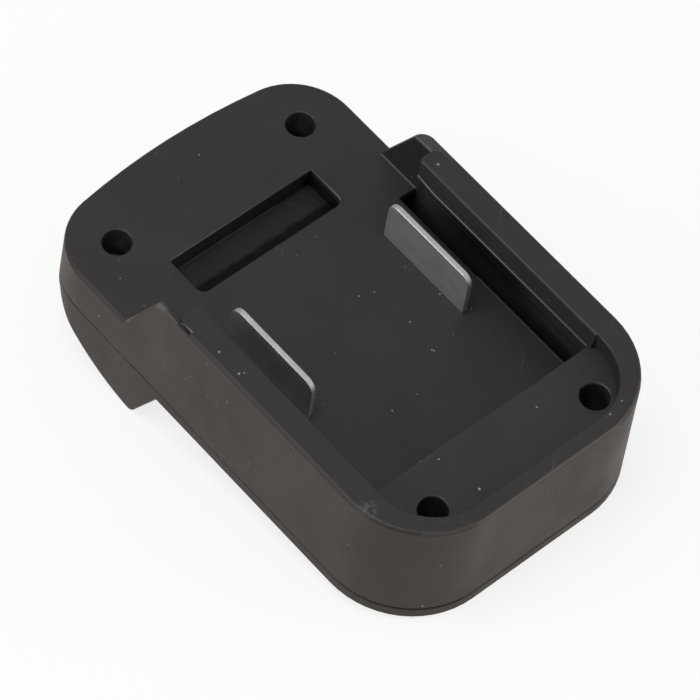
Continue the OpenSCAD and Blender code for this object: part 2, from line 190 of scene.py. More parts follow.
class MouldingSettings(bpy.types.PropertyGroup):
    """Edges, places and colours of the two black mouldings."""

    edge_radius: FloatProperty(
        name="Edge radius",
        description="Width of the rounding along the sharp outside edges",
        default=0.32 * MM,
        min=0,
        unit="LENGTH",
    )
    edge_steps: IntProperty(
        name="Edge steps", description="Faces across each rounding", default=3, min=1, max=6
    )
    edge_angle: FloatProperty(
        name="Edge angle",
        description="Edges that turn by more than this are rounded",
        default=math.radians(60),
        subtype="ANGLE",
    )
    nose_edge: FloatProperty(
        name="Nose edge",
        description="Rounding along the inner top edge of the rails, in front of the lips",
        default=0.5 * MM,
        min=0,
        unit="LENGTH",
    )
    nose_margin: FloatProperty(
        name="Nose margin",
        description="How far in front of the lips that rounding ends",
        default=0.8 * MM,
        min=0,
        unit="LENGTH",
    )
    channel_reach: FloatProperty(
        name="Channel reach",
        description="Distance of the channel's side walls from the middle plane",
        default=30.9 * MM,
        unit="LENGTH",
    )
    lip_reach: FloatProperty(
        name="Lip reach",
        description="Distance of the lips' lower edges from the middle plane",
        default=26.35 * MM,
        unit="LENGTH",
    )
    lip_flare: FloatProperty(
        name="Lip flare",
        description="How much further out the lips' lower edges are at the mouth",
        default=0.45 * MM,
        unit="LENGTH",
    )
    lip_front: FloatProperty(
        name="Lip front",
        description="Where the lips begin, along the slide",
        default=13.3 * MM,
        unit="LENGTH",
    )
    lip_rear: FloatProperty(
        name="Lip rear",
        description="Where the lips meet the platform, along the slide",
        default=-35.6 * MM,
        unit="LENGTH",
    )
    lip_under: FloatProperty(
        name="Lip underside", description="Height of the lips' underside", default=11.2 * MM, unit="LENGTH"
    )
    bead_size: FloatProperty(
        name="Parting bead",
        description="Thickness of the parting line left along the lips' lower edges",
        default=0.42 * MM,
        min=0,
        unit="LENGTH",
    )
    # The bead is a real parting line; its pale colour is a painted highlight along the lips' lower edges
    bead_highlight_colour: FloatVectorProperty(
        name="Bead colour",
        description="Colour of the whitened flash along the parting line",
        subtype="COLOR",
        default=hex_colour("#64615F"),
    )
    seam_edge: FloatProperty(
        name="Seam edge",
        description="Rounding of the two mouldings' edges where they meet at the seam",
        default=0.1 * MM,
        min=0,
        unit="LENGTH",
    )
    seam_line: FloatProperty(
        name="Seam line",
        description="Height of the shadow line at the seam",
        default=0.3 * MM,
        min=0,
        unit="LENGTH",
    )
    flash_depth: FloatProperty(
        name="Flash depth",
        description="How far the flash in the seam stays inside the walls",
        default=0.1 * MM,
        min=0,
        unit="LENGTH",
    )
    blade_sheet: FloatProperty(
        name="Blade sheet",
        description="Thickness of the blades that stand in the floor's slots",
        default=1.2 * MM,
        min=0,
        unit="LENGTH",
    )
    slot_gap: FloatProperty(
        name="Slot gap",
        description="Clearance round a blade in its slot",
        default=0.2 * MM,
        min=0,
        unit="LENGTH",
    )
    slot_shut: FloatProperty(
        name="Slot closing",
        description="How far the slots' walls have crept in towards the blades",
        default=0.15 * MM,
        min=0,
        unit="LENGTH",
    )
    slot_edge: FloatProperty(
        name="Slot edge",
        description="Rounding along the slots' upper edges",
        default=0.06 * MM,
        min=0,
        unit="LENGTH",
    )
    housing_colour: FloatVectorProperty(
        name="Housing colour",
        description="Body colour of the housing's plastic",
        subtype="COLOR",
        default=hex_colour("#292727"),
    )
    cover_colour: FloatVectorProperty(
        name="Cover colour",
        description="Body colour of the cover's plastic",
        subtype="COLOR",
        default=hex_colour("#272626"),
    )
    roughness: FloatProperty(
        name="Roughness",
        description="Roughness of the satin moulded skin",
        default=0.46,
        min=0,
        max=1,
        subtype="FACTOR",
    )


class ContactSettings(bpy.types.PropertyGroup):
    """Edges and colours of the blades and screws."""

    edge_steps: IntProperty(
        name="Edge steps", description="Faces across each rounding", default=2, min=1, max=6
    )
    edge_angle: FloatProperty(
        name="Edge angle",
        description="Edges that turn by more than this are rounded",
        default=math.radians(40),
        subtype="ANGLE",
    )
    sheared_edge: FloatProperty(
        name="Sheared edge",
        description="Width of the rounding along a blade's stamped edges",
        default=0.16 * MM,
        min=0,
        unit="LENGTH",
    )
    blade_colour: FloatVectorProperty(
        name="Blade colour",
        description="Colour of the blades' plating",
        subtype="COLOR",
        default=hex_colour("#CBC9C6"),
    )
    screw_edge: FloatProperty(
        name="Screw edge",
        description="Width of the rounding along the screws' edges",
        default=0.08 * MM,
        min=0,
        unit="LENGTH",
    )
    screw_colour: FloatVectorProperty(
        name="Screw colour",
        description="Colour of the screws' zinc plate",
        subtype="COLOR",
        default=hex_colour("#A8A7A2"),
    )


class StageSettings(bpy.types.PropertyGroup):
    """Camera, floor and lights."""

    azimuth: FloatProperty(
        name="Azimuth",
        description="Camera angle round the object",
        default=math.radians(-50.1993),
        subtype="ANGLE",
    )
    elevation: FloatProperty(
        name="Elevation",
        description="Camera angle above the tray floor",
        default=math.radians(56.0666),
        subtype="ANGLE",
    )
    roll: FloatProperty(
        name="Roll",
        description="Camera turn about its own axis",
        default=math.radians(10.9433),
        subtype="ANGLE",
    )
    distance: FloatProperty(
        name="Distance",
        description="Camera distance from the point it looks at",
        default=894.93 * MM,
        unit="LENGTH",
    )
    target: FloatVectorProperty(
        name="Target",
        description="Point that the camera looks at",
        subtype="TRANSLATION",
        unit="LENGTH",
        default=(-3.618 * MM, -4.723 * MM, 0),
    )
    lens: FloatProperty(
        name="Lens", description="Focal length in millimetres", default=246.56, min=20, max=600
    )
    floor_size: FloatProperty(
        name="Floor size", description="Side of the square floor", default=4.0, unit="LENGTH"
    )
    floor_colour: FloatVectorProperty(
        name="Floor colour",
        description="Colour of the pale floor",
        subtype="COLOR",
        default=hex_colour("#FBF8F3"),
    )
    whiteness: FloatProperty(
        name="Whiteness",
        description="Share of plain white in the floor as the camera sees it",
        default=0.8,
        min=0,
        max=1,
        subtype="FACTOR",
    )
    heel_touch: FloatProperty(
        name="Heel touch",
        description="Where the curved heel meets the floor, along the slide",
        default=21.3 * MM,
        unit="LENGTH",
    )
    sky: FloatProperty(
        name="Sky", description="Strength of the plain light from all sides", default=0.5, min=0, soft_max=1
    )


# Helpers


def add(tree, kind, settings=None, inputs=None):
    """Add one node, with its settings, and its inputs as values or as the sockets that feed them."""
    node = tree.nodes.new(kind)
    for key, value in (settings or {}).items():
        setattr(node, key, value)
    for key, value in (inputs or {}).items():
        if isinstance(value, bpy.types.NodeSocket):
            tree.links.new(value, node.inputs[key])
        else:
            node.inputs[key].default_value = value
    return node


def start_material(name):
    """A new material's tree, its shader, and the object's own coordinates in millimetres."""
    material = bpy.data.materials.new(name)
    material.use_nodes = True
    tree = material.node_tree
    tree.nodes.clear()
    shader = add(tree, "ShaderNodeBsdfPrincipled")
    add(tree, "ShaderNodeOutputMaterial", None, {"Surface": shader.outputs["BSDF"]})
    place = add(tree, "ShaderNodeTexCoord").outputs["Object"]
    point = add(tree, "ShaderNodeVectorMath", {"operation": "SCALE"}, {0: place, "Scale": 1 / MM}).outputs[0]
    return material, tree, shader, point


def new_piece(name, work, materials):
    """An object in the scene made from a bmesh, with its materials in their order."""
    mesh = bpy.data.meshes.new(name)
    work.to_mesh(mesh)
    work.free()
    for material in materials:
        mesh.materials.append(material)
    piece = bpy.data.objects.new(name, mesh)
    bpy.context.scene.collection.objects.link(piece)
    return piece


def across(face, edge):
    """How far a face reaches from one of its edges."""
    start = edge.verts[0].co
    line = (edge.verts[1].co - start).normalized()
    return max((v.co - start).cross(line).length for v in face.verts)


def edged_copy(node, name, radius, steps, angle, materials, prepare=None, width_at=None):
    """A merged copy of a node of the frame, its outside edges rounded, narrow faces less than wide ones.

    prepare, where given, is run on the merged mesh first. width_at gives the width of the
    rounding for the middle of an edge, or None where the usual rule holds.
    """
    work = bmesh.new()
    work.from_mesh(frame["nodes"][node].data)
    bmesh.ops.remove_doubles(work, verts=work.verts, dist=WELD)
    bmesh.ops.dissolve_degenerate(work, edges=work.edges, dist=SLIVER)
    bmesh.ops.dissolve_limit(
        work,
        angle_limit=FLAT,
        verts=work.verts,
        edges=work.edges,
        use_dissolve_boundaries=False,
        delimit=set(),
    )
    if prepare:
        prepare(work)
    weights = work.edges.layers.float.new("bevel_weight_edge")
    for edge in work.edges:
        if len(edge.link_faces) != 2:
            raise RuntimeError(f"{name}: the merged copy of {node} is open at {tuple(edge.verts[0].co)}")
        turn = edge.calc_face_angle_signed(0.0)
        edge.smooth = -INSIDE_CORNER < turn < angle
        if turn > angle:
            room = ROOM_SHARE * min(across(face, edge) for face in edge.link_faces)
            middle = (edge.verts[0].co + edge.verts[1].co) / 2
            width = width_at(middle) if width_at else None
            edge[weights] = (min(radius, room) if width is None else width) / radius
    for face in work.faces:
        face.smooth = True
    piece = new_piece(name, work, materials)
    bevel = piece.modifiers.new("Rounded edges", "BEVEL")
    bevel.limit_method = "WEIGHT"
    bevel.width = radius
    bevel.segments = steps
    bevel.profile = 0.5
    bevel.use_clamp_overlap = False
    bevel.miter_outer = "MITER_SHARP"
    bevel.material = len(materials) - 1
    shade = piece.modifiers.new("Flat faces stay flat", "WEIGHTED_NORMAL")
    shade.keep_sharp = True
    shade.weight = 50
    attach(piece, "root")
    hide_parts(node)
    return piece


# Finishes


def from_line(tree, point, start, end):
    """Distance of the point from the line between two places."""
    way = Vector(end) - Vector(start)
    offset = add(
        tree, "ShaderNodeVectorMath", {"operation": "SUBTRACT"}, {0: point, 1: tuple(start)}
    ).outputs[0]
    share = add(
        tree,
        "ShaderNodeVectorMath",
        {"operation": "DOT_PRODUCT"},
        {0: offset, 1: tuple(way / way.length_squared)},
    ).outputs["Value"]
    held = add(tree, "ShaderNodeClamp", None, {"Value": share}).outputs[0]
    near = add(
        tree, "ShaderNodeVectorMath", {"operation": "SCALE"}, {0: tuple(way), "Scale": held}
    ).outputs[0]
    return add(tree, "ShaderNodeVectorMath", {"operation": "DISTANCE"}, {0: offset, 1: near}).outputs["Value"]


def paint_pocket_shade(tree, shader, point, tone, colour, painted_shade):
    """The skin's tone with painted shade: darker, with a duller reflection and an uneven border."""
    uneven = add(
        tree, "ShaderNodeTexNoise", None, {"Vector": point, "Scale": 1 / 2.5, "Detail": 2.0}
    ).outputs["Fac"]
    depth = 0.0
    for start, end, radius, strength in painted_shade:
        away = add(
            tree,
            "ShaderNodeMath",
            {"operation": "MULTIPLY_ADD"},
            {0: uneven, 1: PAINTED_SHADE_WANDER, 2: from_line(tree, point, start, end)},
        ).outputs[0]
        border, core = (reach + PAINTED_SHADE_WANDER / 2 for reach in (radius, 0.5 * radius))
        shade_here = add(
            tree,
            "ShaderNodeMapRange",
            None,
            {"Value": away, "From Min": border, "From Max": core, "To Max": strength},
        ).outputs[0]
        depth = add(tree, "ShaderNodeMath", {"operation": "MAXIMUM"}, {0: shade_here, 1: depth}).outputs[0]
    sheen = add(tree, "ShaderNodeMapRange", None, {"Value": depth, "To Min": 0.5, "To Max": 0.1}).outputs[0]
    tree.links.new(sheen, shader.inputs["Specular IOR Level"])
    # The painted shade darkens the tone down to a quarter of the body colour
    shade_colour = tuple(c * 0.25 for c in colour) + (1.0,)
    return add(tree, "ShaderNodeMix", {"data_type": "RGBA"}, {0: depth, 6: tone, 7: shade_colour}).outputs[2]


def lay_dust(tree, point):
    """Dust and lint: flecks about 0.3 mm across in a few of the 3 mm cells, most of them on
    faces that look up.
    """
    cells = add(tree, "ShaderNodeTexVoronoi", {"feature": "F1"}, {"Vector": point, "Scale": 1 / 3.0})
    near = add(
        tree,
        "ShaderNodeMapRange",
        None,
        {"Value": cells.outputs["Distance"], "From Min": 0.07, "From Max": 0.03},
    ).outputs[0]
    lot = add(tree, "ShaderNodeSeparateColor", None, {"Color": cells.outputs["Color"]}).outputs["Red"]
    chosen = add(tree, "ShaderNodeMapRange", None, {"Value": lot, "From Min": 0.55}).outputs[0]
    normal = add(tree, "ShaderNodeNewGeometry").outputs["Normal"]
    upward = add(tree, "ShaderNodeSeparateXYZ", None, {"Vector": normal}).outputs["Z"]
    lies = add(
        tree, "ShaderNodeMapRange", None, {"Value": upward, "From Max": 0.9, "To Min": 0.35, "To Max": 0.8}
    ).outputs[0]
    fleck = add(tree, "ShaderNodeMath", {"operation": "MULTIPLY"}, {0: near, 1: chosen}).outputs[0]
    return add(tree, "ShaderNodeMath", {"operation": "MULTIPLY"}, {0: fleck, 1: lies}).outputs[0]


def add_scratches(tree, point, marks):
    """The marks with hair scratches: real ones are 0.05 mm wide, drawn 0.15 mm wide and some
    12 mm long, in two directions.
    """
    for turn, shift in ((34, 0.0), (-52, 40.0)):
        hair = add(
            tree,
            "ShaderNodeMapping",
            {"vector_type": "TEXTURE"},
            {
                "Vector": point,
                "Location": (shift, shift, 0.0),
                "Rotation": (0.0, 0.0, math.radians(turn)),
                "Scale": (0.3, 12.0, 6.0),
            },
        ).outputs["Vector"]
        line = add(
            tree, "ShaderNodeTexNoise", None, {"Vector": hair, "Scale": 1.0, "Detail": 1.0, "Roughness": 0.4}
        ).outputs["Fac"]
        scratch = add(
            tree,
            "ShaderNodeMapRange",
            None,
            {"Value": line, "From Min": 0.75, "From Max": 0.85, "To Max": 0.12},
        ).outputs[0]
        marks = add(tree, "ShaderNodeMath", {"operation": "MAXIMUM"}, {0: marks, 1: scratch}).outputs[0]
    return marks


def add_scuffs(tree, point, marks, scuffs):
    """The marks with spots where the skin is rubbed pale in fine patches 0.7 mm across."""
    for place, radius, paleness in scuffs:
        away = add(
            tree, "ShaderNodeVectorMath", {"operation": "DISTANCE"}, {0: point, 1: place}
        ).outputs["Value"]
        inside = add(
            tree, "ShaderNodeMapRange", None, {"Value": away, "From Min": radius, "From Max": 0.2 * radius}
        ).outputs[0]
        patch = add(
            tree,
            "ShaderNodeTexNoise",
            None,
            {"Vector": point, "Scale": 1 / 0.7, "Detail": 3.0, "Roughness": 0.7},
        ).outputs["Fac"]
        wear_and_highlight = add(
            tree,
            "ShaderNodeMapRange",
            None,
            {"Value": patch, "From Min": 0.45, "From Max": 0.65, "To Max": paleness},
        ).outputs[0]
        scuff = add(tree, "ShaderNodeMath", {"operation": "MULTIPLY"}, {0: inside, 1: wear_and_highlight}).outputs[0]
        marks = add(tree, "ShaderNodeMath", {"operation": "MAXIMUM"}, {0: marks, 1: scuff}).outputs[0]
    return marks


def add_specks(tree, point, marks, flecks):
    """The marks with specks of debris, pale in the middle and soft at the rim."""
    for place, radius, paleness in flecks:
        away = add(
            tree, "ShaderNodeVectorMath", {"operation": "DISTANCE"}, {0: point, 1: place}
        ).outputs["Value"]
        speck = add(
            tree,
            "ShaderNodeMapRange",
            None,
            {"Value": away, "From Min": radius, "From Max": 0.4 * radius, "To Max": paleness},
        ).outputs[0]
        marks = add(tree, "ShaderNodeMath", {"operation": "MAXIMUM"}, {0: marks, 1: speck}).outputs[0]
    return marks


def add_painted_edge_light(tree, point, marks, edge_light):
    """The marks with painted highlights: pale lines that fade out to their sides."""
    for start, end, radius, paleness in edge_light:
        away = from_line(tree, point, start, end)
        wear_and_highlight = add(
            tree,
            "ShaderNodeMapRange",
            None,
            {"Value": away, "From Min": radius, "From Max": 0.0, "To Max": paleness},
        ).outputs[0]
        marks = add(tree, "ShaderNodeMath", {"operation": "MAXIMUM"}, {0: marks, 1: wear_and_highlight}).outputs[0]
    return marks


def moulded_plastic(name, colour, roughness, edge=False, scuffs=(), edge_light=(), flecks=(), painted_shade=()):
    """Glass-filled nylon from a spark-eroded mould: a satin black skin with a fine grain.

    It gives the eye an even, soft sheen that breaks up at the grain's scale, a slightly
    cloudy tone, hair scratches and pale flecks of dust.
    scuffs and flecks are rubbed spots and specks, each a place in millimetres, a radius and a paleness;
    edge_light are painted highlights along edges and painted light in a shaded slot, and painted_shade is
    painted shade in corners, each a start, an end, a radius and a strength.
    """
    material, tree, shader, point = start_material(name)

    # Cloudy tone, about 14 mm across, as the flow of the melt leaves it
    cloud = add(
        tree, "ShaderNodeTexNoise", None, {"Vector": point, "Scale": 1 / 14, "Detail": 3.0, "Roughness": 0.55}
    ).outputs["Fac"]
    darker, lighter = (tuple(c * share for c in colour) + (1.0,) for share in (0.84, 1.16))
    tone = add(tree, "ShaderNodeMix", {"data_type": "RGBA"}, {0: cloud, 6: darker, 7: lighter}).outputs[2]
    # Painted shade: the tone is darkened and the reflection dulled where shadow falls in the latch pocket
    if painted_shade:
        tone = paint_pocket_shade(tree, shader, point, tone, colour, painted_shade)

    marks = lay_dust(tree, point)
    marks = add_scratches(tree, point, marks)
    marks = add_scuffs(tree, point, marks, scuffs)
    marks = add_specks(tree, point, marks, flecks)
    # Painted highlights along edges, and painted light in the right floor slot
    marks = add_painted_edge_light(tree, point, marks, edge_light)
    # Pale colour of the dust, scratches, scuffs and specks, and of the painted highlights
    pale = hex_colour("#B4B0A8") + (1.0,)
    skin = add(tree, "ShaderNodeMix", {"data_type": "RGBA"}, {0: marks, 6: tone, 7: pale}).outputs[2]
    tree.links.new(skin, shader.inputs["Base Color"])

    # The skin's gloss follows the cloudy tone; edges are rubbed smoother by handling
    centre = roughness * (0.9 if edge else 1.0)
    gloss = add(
        tree,
        "ShaderNodeMapRange",
        None,
        {"Value": cloud, "From Min": 0.3, "From Max": 0.7, "To Min": centre - 0.06, "To Max": centre + 0.07},
    ).outputs[0]
    tree.links.new(gloss, shader.inputs["Roughness"])

    # Mould grain: real pitch near 0.1 mm, drawn at 0.4 mm because finer doesn't show
    grain = add(
        tree, "ShaderNodeTexNoise", None, {"Vector": point, "Scale": 1 / 0.4, "Detail": 2.0, "Roughness": 0.6}
    ).outputs["Fac"]
    strength = 0.25 if edge else 0.5
    bump = add(
        tree, "ShaderNodeBump", None, {"Height": grain, "Strength": strength, "Distance": 0.03 * MM}
    ).outputs["Normal"]
    tree.links.new(bump, shader.inputs["Normal"])
    shader.inputs["IOR"].default_value = 1.42
    shader.inputs["Specular Tint"].default_value = hex_colour("#FFFAF5") + (1.0,)
    return material


def plated_sheet(name, colour, sheared=False):
    """Tin-plated copper alloy sheet, blanked and bent: rolled faces with fine lines along
    the blade and a cloudy tone; the sheared edges are glossier and clean.
    """
    material, tree, shader, point = start_material(name)
    # Rolling lines: real pitch near 0.05 mm, drawn at 0.16 mm across and 9 mm long
    stretched = add(
        tree,
        "ShaderNodeMapping",
        {"vector_type": "POINT"},
        {"Vector": point, "Scale": (1 / 0.16, 1 / 9, 1 / 0.16)},
    ).outputs["Vector"]
    lines = add(
        tree, "ShaderNodeTexNoise", None, {"Vector": stretched, "Scale": 1.0, "Detail": 3.0, "Roughness": 0.6}
    ).outputs["Fac"]
    # Cloudy tone of handled plating, about 5 mm across
    patch = add(
        tree, "ShaderNodeTexNoise", None, {"Vector": point, "Scale": 1 / 5, "Detail": 4.0, "Roughness": 0.6}
    ).outputs["Fac"]
    duller = tuple(c * 0.7 for c in colour) + (1.0,)
    brighter = tuple(min(1.0, c * 1.15) for c in colour) + (1.0,)
    tone = add(tree, "ShaderNodeMix", {"data_type": "RGBA"}, {0: patch, 6: duller, 7: brighter}).outputs[2]
    tree.links.new(tone, shader.inputs["Base Color"])
    low, high = (0.42, 0.48) if sheared else (0.52, 0.64)
    gloss = add(
        tree,
        "ShaderNodeMapRange",
        None,
        {"Value": lines, "From Min": 0.35, "From Max": 0.65, "To Min": low, "To Max": high},
    ).outputs[0]
    tree.links.new(gloss, shader.inputs["Roughness"])
    strength = 0.02 if sheared else 0.2
    bump = add(
        tree, "ShaderNodeBump", None, {"Height": lines, "Strength": strength, "Distance": 0.01 * MM}
    ).outputs["Normal"]
    tree.links.new(bump, shader.inputs["Normal"])
    shader.inputs["Metallic"].default_value = 1.0
    return material


def zinc_plate(name, colour):
    """Zinc-plated screw steel: a dull grey metal with a slightly crystalline, spotted tone."""
    material, tree, shader, point = start_material(name)
    # Crystal spots about 0.7 mm across
    spots = add(
        tree, "ShaderNodeTexVoronoi", {"feature": "SMOOTH_F1"}, {"Vector": point, "Scale": 1 / 0.7}
    ).outputs["Distance"]
    duller = tuple(c * 0.75 for c in colour) + (1.0,)
    tone = add(
        tree, "ShaderNodeMix", {"data_type": "RGBA"}, {0: spots, 6: duller, 7: tuple(colour) + (1.0,)}
    ).outputs[2]
    tree.links.new(tone, shader.inputs["Base Color"])
    gloss = add(
        tree, "ShaderNodeMapRange", None, {"Value": spots, "From Max": 0.8, "To Min": 0.3, "To Max": 0.5}
    ).outputs[0]
    tree.links.new(gloss, shader.inputs["Roughness"])
    shader.inputs["Metallic"].default_value = 1.0
    return material


def painted_floor(name, colour, whiteness):
    """Matt white board: a pale, even surface with no pattern beyond a faint paper tooth."""
    material, tree, shader, point = start_material(name)
    # Paper tooth: real ones are near 0.2 mm, drawn 3 mm across because finer doesn't show
    tooth = add(
        tree, "ShaderNodeTexNoise", None, {"Vector": point, "Scale": 1 / 3, "Detail": 2.0}
    ).outputs["Fac"]
    shaded = tuple(c * 0.99 for c in colour) + (1.0,)
    tone = add(
        tree, "ShaderNodeMix", {"data_type": "RGBA"}, {0: tooth, 6: shaded, 7: tuple(colour) + (1.0,)}
    ).outputs[2]
    tree.links.new(tone, shader.inputs["Base Color"])
    shader.inputs["Roughness"].default_value = 0.9
    shader.inputs["Specular IOR Level"].default_value = 0.2

    # Seen directly or in a reflection, the board is mostly plain white, and its shadow stays faint
    rays = add(tree, "ShaderNodeLightPath").outputs
    seen = rays["Is Camera Ray"]
    for ray in ("Is Glossy Ray", "Is Transmission Ray"):
        seen = add(tree, "ShaderNodeMath", {"operation": "MAXIMUM"}, {0: seen, 1: rays[ray]}).outputs[0]
    share = add(tree, "ShaderNodeMath", {"operation": "MULTIPLY"}, {0: seen, 1: whiteness})
    # Plastic and metal mirror it dimmer and a little warm, which gives the skin its brownish sheen
    plain, warm = (1.0, 1.0, 1.0, 1.0), (0.84, 0.75, 0.685, 1.0)
    cast = add(
        tree, "ShaderNodeMix", {"data_type": "RGBA"}, {0: rays["Is Glossy Ray"], 6: plain, 7: warm}
    ).outputs[2]
    white = add(tree, "ShaderNodeEmission", None, {"Color": cast, "Strength": 1.0})
    board = add(
        tree,
        "ShaderNodeMixShader",
        None,
        {0: share.outputs[0], 1: shader.outputs["BSDF"], 2: white.outputs["Emission"]},
    )
    # From below the board is clear, so that the object's underside can be looked at
    below = add(tree, "ShaderNodeNewGeometry").outputs["Backfacing"]
    clear = add(tree, "ShaderNodeBsdfTransparent")
    either = add(
        tree, "ShaderNodeMixShader", None, {0: below, 1: board.outputs["Shader"], 2: clear.outputs["BSDF"]}
    )
    output = next(node for node in tree.nodes if node.type == "OUTPUT_MATERIAL")
    tree.links.new(either.outputs["Shader"], output.inputs["Surface"])
    return material


# Pieces and stage


class RECEIVER_OT_housing(bpy.types.Operator):
    """Build the top housing with its rails, lips, platform and latch pocket"""

    bl_idname = "receiver.housing"
    bl_label = "Top housing"

    def execute(self, context):
        s = context.scene.receiver_moulding
        finishes = (("Spark-grained nylon, housing", False), ("Rubbed nylon edges, housing", True))
        materials = [
            moulded_plastic(
                name, tuple(s.housing_colour), s.roughness, is_edge, SCUFFS, PAINTED_EDGE_LIGHT, FLECKS, POCKET_PAINTED_SHADE
            )
            for name, is_edge in finishes
        ]
        _, rear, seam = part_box("top_housing")[0]
        blade_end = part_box("right_terminal_blade")[1]
        blade_middle = blade_end.x - s.blade_sheet / 2
        below_floor = seam / 2

        def at_slot(place):
            """Whether a place is on the wall of the slot that a blade stands in."""
            beside = abs(abs(place.x) - blade_middle) - s.blade_sheet / 2
            beyond = abs(place.y) - blade_end.y
            return max(beside, beyond) < s.slot_gap + TOUCH and place.z > below_floor

        def on_wall(place):
            """Whether a place is on a channel's side wall, in front of the lips."""
            level = abs(abs(place.x) - s.channel_reach) < TOUCH
            return level and place.y > s.lip_front - TOUCH and place.z > s.lip_under

        def tidy_mesh(work):
            """Draw the slots close round the blades, cut the noses' long inner edges where their
            rounding ends, and close the short edges that lead off them.
            """
            for vertex in work.verts:
                place = vertex.co
                if at_slot(place):
                    inward = math.copysign(s.slot_shut, blade_middle - abs(place.x))
                    place.x += math.copysign(1.0, place.x) * inward
                    place.y -= math.copysign(s.slot_shut, place.y)
            for edge in work.edges[:]:
                if all(on_wall(v.co) for v in edge.verts) and edge.calc_length() > LONG_NOSE * s.nose_margin:
                    start = min(edge.verts, key=lambda v: v.co.y)
                    bmesh.utils.edge_split(edge, start, s.nose_margin / edge.calc_length())
            for edge in [e for e in work.edges if e.calc_length() < SHORT]:
                ends = [v.co.copy() for v in edge.verts if on_wall(v.co)]
                if len(ends) == 1:
                    bmesh.ops.pointmerge(work, verts=list(edge.verts), merge_co=ends[0])

        def width_at(middle):
            """Even rounding along the noses and none where their ledge dies away in the lips; a
            fine one at the slots and the platform's front, and along the seam's straight sides,
            where it widens round the rear corners.
            """
            if on_wall(middle):
                return s.nose_edge if middle.y > s.lip_front + s.nose_margin else 0.0
            if at_slot(middle):
                return s.slot_edge
            if middle.z < seam + TOUCH:
                share = min(max((s.lip_rear - middle.y) / (s.lip_rear - rear), 0.0), 1.0)
                return s.seam_edge + share * (s.edge_radius - s.seam_edge)
            rise = middle.z - s.lip_under
            if abs(middle.y - s.lip_rear) < TOUCH and abs(rise) < TOUCH:
                return s.seam_edge
            ledge = abs(middle.y - s.lip_front) < TOUCH and LEDGE_FOOT < rise < LEDGE_TOP
            return 0.0 if ledge and abs(middle.x) < s.channel_reach else None

        edged_copy(
            "top_housing",
            "housing_moulding",
            s.edge_radius,
            s.edge_steps,
            s.edge_angle,
            materials,
            prepare=tidy_mesh,
            width_at=width_at,
        )
        return {"FINISHED"}


class RECEIVER_OT_beads(bpy.types.Operator):
    """Build the parting lines that the undercut's slides leave along the lips' lower edges"""

    bl_idname = "receiver.beads"
    bl_label = "Parting beads"

    def execute(self, context):
        s = context.scene.receiver_moulding
        # The bead is a real parting line; its pale colour is a painted highlight along the lips' lower edges
        material = moulded_plastic("Nylon parting bead, painted highlight", tuple(s.bead_highlight_colour), s.roughness, edge=True)
        height = s.lip_under + BEAD_RISE * s.bead_size
        path = (
            Vector((s.lip_reach, s.lip_rear, height)),
            Vector((s.lip_reach, s.lip_front - MOUTH_LENGTH, height)),
            Vector((s.lip_reach + s.lip_flare, s.lip_front - BEAD_STOP, height)),
        )
        work = bmesh.new()
        ring = bmesh.ops.create_circle(
            work, cap_ends=True, segments=BEAD_SIDES, radius=s.bead_size / 2
        )["verts"]
        along_slide = Matrix.Rotation(math.radians(-90), 3, "X")
        bmesh.ops.rotate(work, verts=ring, cent=(0, 0, 0), matrix=along_slide)
        bmesh.ops.translate(work, verts=ring, vec=path[0])
        end = work.faces[:]
        for here, there in zip(path, path[1:]):
            grown = bmesh.ops.extrude_face_region(work, geom=end)["geom"]
            verts = [g for g in grown if isinstance(g, bmesh.types.BMVert)]
            end = [g for g in grown if isinstance(g, bmesh.types.BMFace)]
            bmesh.ops.translate(work, verts=verts, vec=there - here)
        other = bmesh.ops.duplicate(work, geom=work.verts[:] + work.edges[:] + work.faces[:])["geom"]
        moved = [g for g in other if isinstance(g, bmesh.types.BMVert)]
        bmesh.ops.scale(work, vec=(-1, 1, 1), verts=moved)
        bmesh.ops.recalc_face_normals(work, faces=work.faces)
        for face in work.faces:
            face.smooth = True
        # The extrusion leaves its parts in a chance order, so they are put in order along a skew line
        work.verts.sort(key=lambda v: v.co.dot(SKEW))
        work.faces.sort(key=lambda f: f.calc_center_median().dot(SKEW))
        piece = new_piece("lip_parting_beads", work, [material])
        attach(piece, "root")
        return {"FINISHED"}


class RECEIVER_OT_cover(bpy.types.Operator):
    """Build the bottom cover with its curved hollow heel"""

    bl_idname = "receiver.cover"
    bl_label = "Bottom cover"

    def execute(self, context):
        s = context.scene.receiver_moulding
        colour = tuple(s.cover_colour)
        skin = moulded_plastic("Spark-grained nylon, cover", colour, s.roughness)
        rim = moulded_plastic("Rubbed nylon edges, cover", colour, s.roughness, edge=True)
        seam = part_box("top_housing")[0].z

        def width_at(middle):
            """A fine rounding along the seam's sides, so that its shadow line stays narrow."""
            at_seam = -s.seam_line - TOUCH < middle.z - seam < TOUCH
            return s.seam_edge if at_seam and middle.y > s.lip_rear else None

        edged_copy(
            "bottom_cover",
            "cover_moulding",
            s.edge_radius,
            s.edge_steps,
            s.edge_angle,
            [skin, rim],
            width_at=width_at,
        )
        return {"FINISHED"}


class RECEIVER_OT_flash(bpy.types.Operator):
    """Build the thin flash that nearly closes the seam along the two straight sides"""

    bl_idname = "receiver.flash"
    bl_label = "Seam flash"

    def execute(self, context):
        s = context.scene.receiver_moulding
        material = moulded_plastic("Nylon flash in the seam", tuple(s.housing_colour), s.roughness, edge=True)
        low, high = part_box("top_housing")
        outer = high.x - s.flash_depth
        work = bmesh.new()
        for start, end in FLASH_RUNS:
            for side in (-1, 1):
                corner = Vector((outer - s.seam_line, start * MM, low.z - s.seam_line - TOUCH))
                size = Vector((s.seam_line, (end - start) * MM, s.seam_line + 2 * TOUCH))
                middle = corner + size / 2
                middle.x *= side
                place = Matrix.Translation(middle) @ Matrix.Diagonal(size).to_4x4()
                bmesh.ops.create_cube(work, size=1.0, matrix=place)
        piece = new_piece("seam_flash", work, [material])
        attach(piece, "root")
        return {"FINISHED"}


